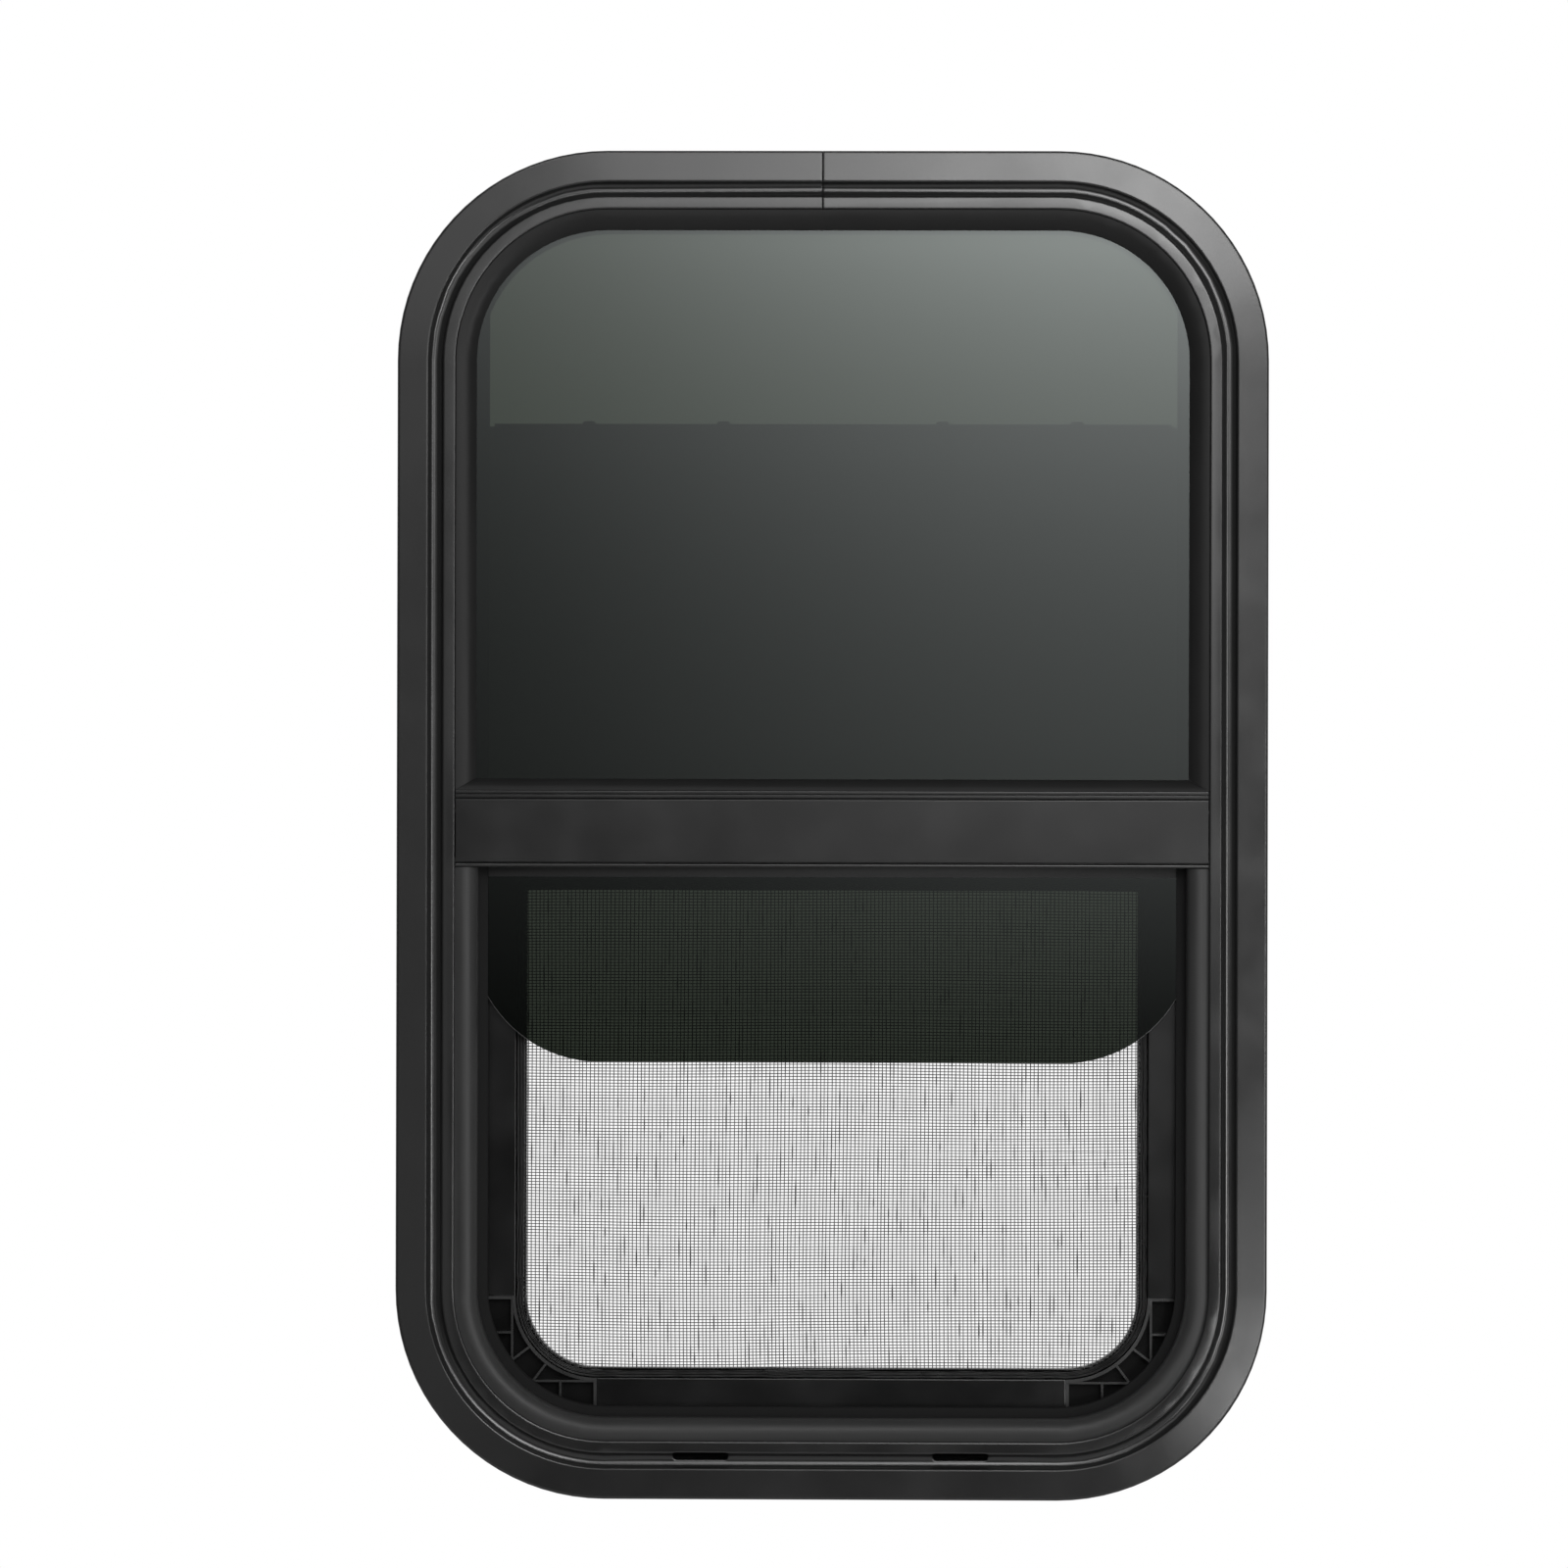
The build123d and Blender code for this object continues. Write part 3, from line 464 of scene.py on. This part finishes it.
def soft_edges_group():
    """Keeps only a solid's true edges sharp."""
    group, way_in, way_out = mesh_group("soft_edges")
    angle = add_node(group, "GeometryNodeInputMeshEdgeAngle").outputs["Unsigned Angle"]
    sharp = add_node(group, "FunctionNodeCompare", {0: angle, 1: SMOOTH_ANGLE}, operation="GREATER_THAN")
    inputs = {"Mesh": way_in, "Remove Custom": True, "Edge Sharpness": sharp.outputs[0]}
    normals = add_node(group, "GeometryNodeSetMeshNormal", inputs)
    group.links.new(normals.outputs[0], way_out)
    return group


JOINED_FACES = joined_faces_group()
SOFT_EDGES = soft_edges_group()
for name, material in MATERIAL_OF.items():
    solid = nodes[name]
    solid.material_slots[0].material = material
    solid.modifiers.new("joined_faces", "NODES").node_group = JOINED_FACES
    if name in EASE_OF:
        ease = solid.modifiers.new("eased_edges", "BEVEL")
        ease.width, ease.segments = EASE_OF[name]
        ease.limit_method = "ANGLE"
        ease.angle_limit = EASE_ANGLE
    solid.modifiers.new("soft_edges", "NODES").node_group = SOFT_EDGES
    weigh = solid.modifiers.new("even_faces", "WEIGHTED_NORMAL")
    weigh.keep_sharp = True


def link_mesh(name, vertices, faces, material, tones=None):
    """A mesh object from points and faces, smooth, with an optional tone for each point."""
    mesh = bpy.data.meshes.new(name)
    mesh.from_pydata(vertices, [], faces)
    mesh.polygons.foreach_set("use_smooth", [True] * len(mesh.polygons))
    if tones is not None:
        attribute = mesh.attributes.new("tone", "FLOAT", "POINT")
        attribute.data.foreach_set("value", np.asarray(tones, np.float32))
    mesh.materials.append(material)
    piece = bpy.data.objects.new(name, mesh)
    bpy.context.scene.collection.objects.link(piece)
    return piece


class Strands:
    """Many three-sided threads gathered into one mesh."""

    def __init__(self):
        self.vertices = []
        self.faces = []
        self.tones = []

    def add(self, centres, side, widths, thickness, tones):
        """A closed thread along its centres; side points across it, in the sheet's plane."""
        base = len(self.vertices)
        back = np.array((0.0, thickness / 2, 0.0))
        across = np.asarray(side)[None, :] * (np.asarray(widths)[:, None] / 2)
        rings = np.stack((centres - across + back, centres - back, centres + across + back), axis=1)
        self.vertices.extend(rings.reshape(-1, 3).tolist())
        self.tones.extend(np.repeat(tones, 3).tolist())
        last = len(centres) - 1
        for i in range(last):
            a = base + 3 * i
            for k in range(3):
                j = (k + 1) % 3
                self.faces.append((a + k, a + j, a + 3 + j, a + 3 + k))
        end = base + 3 * last
        self.faces.append((base + 2, base + 1, base))
        self.faces.append((end, end + 1, end + 2))

    def piece(self, name, material):
        """The mesh object of all threads."""
        return link_mesh(name, self.vertices, self.faces, material, self.tones)


def slub_profile(places, length):
    """Thread thickness along its places: mostly even, with a few thick lengths."""
    gain = np.zeros(len(places))
    for _ in range(SLUBS_PER_THREAD):
        middle = draw.uniform(0.0, length)
        reach = draw.uniform(*SLUB_REACH)
        rise = draw.random() ** 2
        flank = SLUB_FLANK * (1.0 - np.abs(places - middle) / reach)
        gain = np.maximum(gain, rise * np.clip(flank, 0.0, 1.0))
    return gain


def weave_mesh():
    """The woven mesh with its flat size and area: weft threads, and warp threads that go over and under."""
    low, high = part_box("screen_mesh")
    half = high.x + MESH_TUCK
    foot = low.z - MESH_TUCK
    top = high.z + MESH_TUCK
    depth = (low.y + high.y) / 2
    radius = MESH_CORNER_R + MESH_TUCK
    centre_x = half - radius
    centre_z = foot + radius
    warp_count = int(2 * half / WARP_PITCH)
    weft_count = int((top - foot) / WEFT_PITCH)
    warp_x = (np.arange(warp_count) - (warp_count - 1) / 2) * WARP_PITCH
    weft_z = top - (np.arange(weft_count) + 0.5) * WEFT_PITCH

    def foot_at(x):
        """The cloth's lower edge at a place across."""
        out = max(abs(x) - centre_x, 0.0)
        return centre_z - math.sqrt(max(radius**2 - out**2, 0.0))

    def reach_at(z):
        """The cloth's half width at a height."""
        out = max(centre_z - z, 0.0)
        return centre_x + math.sqrt(max(radius**2 - out**2, 0.0))

    def wander(x, z, seed):
        """How far one thread strays by itself."""
        return noise.noise(Vector((x * THREAD_DRIFT_RATE, z * THREAD_DRIFT_RATE, seed))) * THREAD_DRIFT

    def pull(x, z, seed):
        """How far the cloth is pulled askew, the same for neighbouring threads."""
        return noise.noise(Vector((x * MESH_DRIFT_RATE, z * MESH_DRIFT_RATE, seed))) * MESH_DRIFT

    threads = Strands()
    for i, x in enumerate(warp_x):
        rows = [j for j, z in enumerate(weft_z) if z > foot_at(x)]
        if len(rows) < 2:
            continue
        places = weft_z[rows]
        shift = draw.uniform(-0.5, 0.5) * THREAD_DRIFT
        seed = WARP_SEEDS[i % len(WARP_SEEDS)]
        side = np.array([shift + wander(x, z, seed) + pull(x, z, WARP_PULL_SEED) for z in places])
        wave = np.array([THREAD_WAVE * (-1) ** (i + j) for j in rows])
        centres = np.stack((x + side, depth + wave, places), axis=1)[::-1]
        gain = slub_profile(places - foot, top - foot)[::-1]
        tone = draw.uniform(*WARP_TONES) * (1 - SLUB_DARK * gain)
        threads.add(centres, (1, 0, 0), THREAD_W * (WARP_WIDTH + SLUB_GAIN * gain), THREAD_T, tone)
    for j, z in enumerate(weft_z):
        reach = reach_at(z)
        count = max(2, int(2 * reach / WEFT_STEP))
        places = np.linspace(-reach, reach, count)
        seed = WEFT_SEEDS[j % len(WEFT_SEEDS)]
        rise = np.array([wander(x * WEFT_CALM, z, seed) + pull(x, z, WEFT_PULL_SEED) for x in places])
        centres = np.stack((places, np.full(count, depth), z + rise), axis=1)
        widths = np.full(count, THREAD_W * draw.uniform(*WEFT_WIDTHS))
        tones = np.full(count, draw.uniform(*WEFT_TONES))
        threads.add(centres, (0, 0, -1), widths, THREAD_T, tones)
    cut = (2 * half, top - foot)
    cut_area = cut[0] * cut[1] - 2 * (1 - math.pi / 4) * radius**2
    return threads.piece("fly_mesh", MESH_YARN), cut, cut_area


def joint_seal_and_shade():
    """Dark sealant in the frame's butt joint, a little uneven, which also paints the joint's shade as a dark
    strip.
    """
    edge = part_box("outer_frame")[1].z
    vertices = []
    faces = []
    for run in SEAM_RUNS:
        base = len(vertices)
        for inward, depth in run:
            for side in (-1.0, 1.0):
                x = SEAM_X + side * SEAM_W / 2 + draw.uniform(-SEAM_ROUGH, SEAM_ROUGH)
                vertices.append((x * MM, (depth - SEAM_PROUD) * MM, edge - inward * MM))
        for i in range(base, base + 2 * len(run) - 2, 2):
            faces.append((i, i + 2, i + 3, i + 1))
    filler = link_mesh("joint_seal_and_shade", vertices, faces, JOINT_SEAL_AND_SHADE)
    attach(filler, "frame")


def ring_path(half, foot, top, foot_r, top_r, step):
    """Points and outward directions round a rectangle with rounded corners, from its lower left."""
    corners = (
        (-half + foot_r, foot + foot_r, foot_r, 180.0),
        (half - foot_r, foot + foot_r, foot_r, 270.0),
        (half - top_r, top - top_r, top_r, 0.0),
        (-half + top_r, top - top_r, top_r, 90.0),
    )
    raw = []
    for x, z, radius, start in corners:
        turns = max(LEAST_TURNS, int(radius * math.pi / 2 / step))
        for i in range(turns + 1):
            angle = math.radians(start + 90.0 * i / turns)
            way = (math.cos(angle), math.sin(angle))
            raw.append(((x + radius * way[0], z + radius * way[1]), way))
    path = []
    for (point, way), (after, _) in zip(raw, raw[1:] + raw[:1]):
        count = max(1, round(math.dist(point, after) / step))
        for i in range(count):
            t = i / count
            path.append(((point[0] + (after[0] - point[0]) * t, point[1] + (after[1] - point[1]) * t), way))
    return path


def spline_cord():
    """The ribbed rubber cord in the screen's groove, pressed in unevenly by hand."""
    low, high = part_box("screen_spline")
    half = high.x - SPLINE_HALF_W
    foot = low.z + SPLINE_HALF_W
    top = high.z - SPLINE_HALF_W
    path = ring_path(half, foot, top, SPLINE_CORNER_R, SPLINE_TOP_R, SPLINE_STEP)
    vertices = []
    faces = []
    for (x, z), way in path:
        place = Vector((x * SPLINE_ROUGH_RATE, z * SPLINE_ROUGH_RATE, 0.0))
        sink = noise.noise(place) * SPLINE_ROUGH
        sway = noise.noise(place + SWAY_SEED) * SPLINE_ROUGH
        for k in range(SPLINE_SIDES + 1):
            t = -1.0 + 2.0 * k / SPLINE_SIDES
            rib = SPLINE_RIB_H * math.cos(t * math.pi * SPLINE_RIBS)
            speck = Vector((x * SPLINE_GRAIN_RATE, z * SPLINE_GRAIN_RATE, t * SPLINE_GRAIN_ACROSS))
            fuzz = noise.noise(speck) * SPLINE_GRAIN
            crown = SPLINE_CROWN * (1.0 - t * t)
            out = t * SPLINE_HALF_W + sway
            y = low.y + SPLINE_SET - crown - rib + sink + fuzz
            vertices.append((x + way[0] * out, y, z + way[1] * out))
        for out in (SPLINE_HALF_W, -SPLINE_HALF_W):
            vertices.append((x + way[0] * out, high.y, z + way[1] * out))
    ring = SPLINE_SIDES + 3
    count = len(path)
    for n in range(count):
        a = n * ring
        b = ((n + 1) % count) * ring
        for k in range(ring):
            j = (k + 1) % ring
            faces.append((a + k, a + j, b + j, b + k))
    return link_mesh("spline_cord", vertices, faces, CORD_RUBBER)


def frayed_edge():
    """Cut ends of the mesh that stand up beside the cord."""
    low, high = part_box("screen_spline")
    path = ring_path(high.x, low.z, high.z, SPLINE_CORNER_R + SPLINE_HALF_W, SPLINE_TOP_R, FRAY_STEP)
    ends = Strands()
    for (x, z), way in path:
        if draw.random() < FRAY_MISSING:
            continue
        root = np.array((x - way[0] * FRAY_ROOT_IN, low.y + FRAY_ROOT_DEEP, z - way[1] * FRAY_ROOT_IN))
        lean = draw.uniform(-FRAY_LEAN, FRAY_LEAN)
        out = draw.uniform(-FRAY_SWAY, FRAY_SWAY)
        rise = draw.uniform(*FRAY_RISE)
        along = np.array((-way[1], 0.0, way[0]))
        tip = root + along * lean + np.array((way[0] * out, -rise, way[1] * out))
        tones = np.full(2, draw.uniform(*FRAY_TONES))
        ends.add(np.stack((root, tip)), along, FRAY_WIDTHS, FRAY_T, tones)
    return ends.piece("mesh_cut_edge", MESH_YARN)


def pile_strip():
    """The pile seal: a woven backing with rows of short hairs."""
    low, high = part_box("rail_pile_seal")
    hairs = Strands()
    backing = low.y + PILE_BACKING
    corners = [(x, y, z) for x in (low.x, high.x) for y in (low.y, backing) for z in (low.z, high.z)]
    count = int((high.x - low.x) / PILE_STEP)
    hairs.vertices.extend(corners)
    hairs.tones.extend([PILE_TONE] * len(corners))
    hairs.faces.extend(((0, 1, 3, 2), (4, 6, 7, 5), (0, 4, 5, 1)))
    hairs.faces.extend(((2, 3, 7, 6), (0, 2, 6, 4), (1, 5, 7, 3)))
    for row in range(PILE_ROWS):
        for i in range(count):
            x = low.x + (i + draw.uniform(*HAIR_PLACES_X)) * PILE_STEP
            z = low.z + (row + draw.uniform(*HAIR_PLACES_Z)) * (high.z - low.z) / PILE_ROWS
            tip_y = high.y - draw.uniform(0.0, HAIR_SHORT)
            tip_x = x + draw.uniform(-HAIR_LEAN_X, HAIR_LEAN_X)
            tip_z = z + draw.uniform(-HAIR_LEAN_Z, HAIR_LEAN_Z)
            hair = len(hairs.vertices)
            for k in range(3):
                turn = k * HAIR_TURN
                hairs.vertices.append((x + HAIR_R * math.cos(turn), backing, z + HAIR_R * math.sin(turn)))
            hairs.vertices.append((tip_x, tip_y, tip_z))
            hairs.tones.extend([draw.random()] * 4)
            for k in range(3):
                hairs.faces.append((hair + k, hair + 3, hair + (k + 1) % 3))
            hairs.faces.append((hair, hair + 1, hair + 2))
    return hairs.piece("pile_strip", PILE_YARN)


joint_seal_and_shade()
fly_mesh, mesh_cut, mesh_area = weave_mesh()
cord = spline_cord()
cut_edge = frayed_edge()
pile = pile_strip()
for piece, slot, replaced in (
    (fly_mesh, "mesh", "screen_mesh"),
    (cut_edge, "mesh", None),
    (cord, "black_rubber", "screen_spline"),
    (pile, "pile", "rail_pile_seal"),
):
    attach(piece, "frame")
    if replaced:
        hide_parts(replaced)


def studio_world():
    """White behind the window for the camera and glass, a dim room in front of it, an even fill."""
    world = bpy.data.worlds.new("studio")
    world.use_nodes = True
    tree = world.node_tree
    tree.nodes.clear()
    path = add_node(tree, "ShaderNodeLightPath").outputs
    way = add_node(tree, "ShaderNodeTexCoord").outputs["Generated"]
    behind = add_node(tree, "ShaderNodeSeparateXYZ", {"Vector": way}).outputs["Y"]
    room = spread(tree, behind, ROOM_FADE, (ROOM_DARK, 1.0), smooth=True)
    fill = add_node(tree, "ShaderNodeMix", {0: path["Is Glossy Ray"], 2: AMBIENT, 3: room}).outputs[0]
    seen = math_node(tree, "MAXIMUM", path["Is Camera Ray"], path["Is Transmission Ray"])
    level = add_node(tree, "ShaderNodeMix", {0: seen, 2: fill, 3: 1.0}).outputs[0]
    background = add_node(tree, "ShaderNodeBackground", {"Color": grey(1.0), "Strength": level})
    output = tree.nodes.new("ShaderNodeOutputWorld")
    tree.links.new(background.outputs[0], output.inputs["Surface"])
    bpy.context.scene.world = world


def emitter(name, strength):
    """A material that only gives light."""
    material = bpy.data.materials.new(name)
    material.use_nodes = True
    tree = material.node_tree
    tree.nodes.clear()
    coords = add_node(tree, "ShaderNodeTexCoord").outputs["Object"]
    level = strength(tree, coords) if callable(strength) else strength
    light = add_node(tree, "ShaderNodeEmission", {"Strength": level})
    output = tree.nodes.new("ShaderNodeOutputMaterial")
    tree.links.new(light.outputs[0], output.inputs["Surface"])
    return material


def scrim_strength(tree, coords):
    """Light that grows upwards and to the right and fades again beyond, as on a large lit scrim."""
    place = add_node(tree, "ShaderNodeSeparateXYZ", {"Vector": coords}).outputs
    rightwards = spread(tree, place["X"], *SCRIM_RIGHTWARDS, smooth=True)
    beyond = spread(tree, place["X"], *SCRIM_BEYOND, smooth=True)
    sideways = math_node(tree, "MULTIPLY", rightwards, beyond)
    slope = math_node(tree, "MULTIPLY_ADD", place["Y"], SCRIM_CURVE, SCRIM_SLOPE)
    power = math_node(tree, "MULTIPLY_ADD", place["Y"], slope, SCRIM_BASE)
    rise = math_node(tree, "MINIMUM", math_node(tree, "EXPONENT", power), SCRIM_MAX)
    foot = spread(tree, place["Y"], *SCRIM_FOOT, smooth=True)
    return math_node(tree, "MULTIPLY", math_node(tree, "MULTIPLY", rise, foot), sideways)


def light_card(name, across, upwards, place, strength, turn=0.0, tip=0.0):
    """A flat panel of light that the camera and glass don't see directly."""
    left, right = across
    foot, top = upwards
    corners = [(left, foot, 0.0), (right, foot, 0.0), (right, top, 0.0), (left, top, 0.0)]
    card = link_mesh(name, corners, [(0, 1, 2, 3)], emitter(name, strength))
    upright = Matrix.Rotation(math.radians(90.0 + tip), 4, "X")
    turned = Matrix.Rotation(math.radians(turn), 4, "Z")
    card.matrix_world = Matrix.Translation(place) @ turned @ upright
    card.visible_camera = False
    card.visible_transmission = False
    card.visible_shadow = False


def studio_floor():
    """A pale round floor that fades into the white behind it."""
    turns = [2 * math.pi * i / FLOOR_SIDES for i in range(FLOOR_SIDES)]
    rim = [(FLOOR_R * math.cos(t), FLOOR_R * math.sin(t), 0.0) for t in turns]
    material, tree, shader, coords = new_material("pale_floor")
    shader.inputs["Base Color"].default_value = grey(FLOOR_LEVEL)
    shader.inputs["Roughness"].default_value = FLOOR_ROUGH
    distance = add_node(tree, "ShaderNodeVectorMath", {0: coords}, operation="LENGTH").outputs["Value"]
    fade = spread(tree, distance, FLOOR_FADE, (0.0, 1.0), smooth=True)
    clear = add_node(tree, "ShaderNodeBsdfTransparent")
    both = add_node(tree, "ShaderNodeMixShader", {0: fade, 1: shader.outputs[0], 2: clear.outputs[0]})
    tree.links.new(both.outputs[0], tree.nodes["Material Output"].inputs["Surface"])
    floor = link_mesh("floor", rim, [tuple(range(FLOOR_SIDES))], material)
    floor.location = (0.0, 0.0, FLOOR_Z)


def add_camera():
    """The camera at the photograph's angle."""
    data = bpy.data.cameras.new("camera")
    data.sensor_width = SENSOR_MM
    data.lens = SENSOR_MM * CAMERA_DISTANCE / (PICTURE_PX * MM_PER_PX * MM)
    camera = bpy.data.objects.new("camera", data)
    bpy.context.scene.collection.objects.link(camera)
    turn = Matrix.Rotation(CAMERA_YAW, 4, "Z") @ Matrix.Rotation(math.pi / 2, 4, "X")
    away = Vector((math.sin(CAMERA_YAW), -math.cos(CAMERA_YAW), 0.0)) * CAMERA_DISTANCE
    camera.matrix_world = Matrix.Translation(AIM + away) @ turn @ Matrix.Rotation(CAMERA_ROLL, 4, "Z")
    bpy.context.scene.camera = camera


studio_world()
studio_floor()
light_card("scrim", (-2.0, 2.4), (-1.4, 2.4), (0.0, SCRIM_Y, 0.0), strength=scrim_strength)
light_card("key_box", (0.08, 2.0), (0.78, 2.2), (0.0, BOX_Y, 0.0), strength=9.5)
light_card("low_box", (0.9, 1.7), (-1.4, -0.36), (0.0, BOX_Y, 0.0), strength=2.3)
light_card("corner_box", (0.78, 1.3), (-1.1, -0.62), (0.0, CORNER_BOX_Y, 0.0), strength=11.0)
light_card("left_panel", (-2.0, -0.75), (-1.4, 0.2), (0.0, BOX_Y, 0.0), strength=0.42)
light_card("side_strip", STRIP_SPAN, (0.0, 1.4), SIDE_PLACE, strength=5.0, turn=STRIP_TURN)
light_card("side_strip_low", STRIP_SPAN, (-1.8, -0.02), SIDE_PLACE, strength=11.0, turn=STRIP_TURN)
light_card("top_strip", (-1.6, 2.0), STRIP_SPAN, TOP_PLACE, strength=11.0, tip=STRIP_TURN)
light_card("back_fill", (-1.2, 1.2), (-1.0, 1.6), BACK_PLACE, strength=1.2, turn=BACK_TURN)
add_camera()
bpy.context.scene.view_settings.view_transform = "Standard"
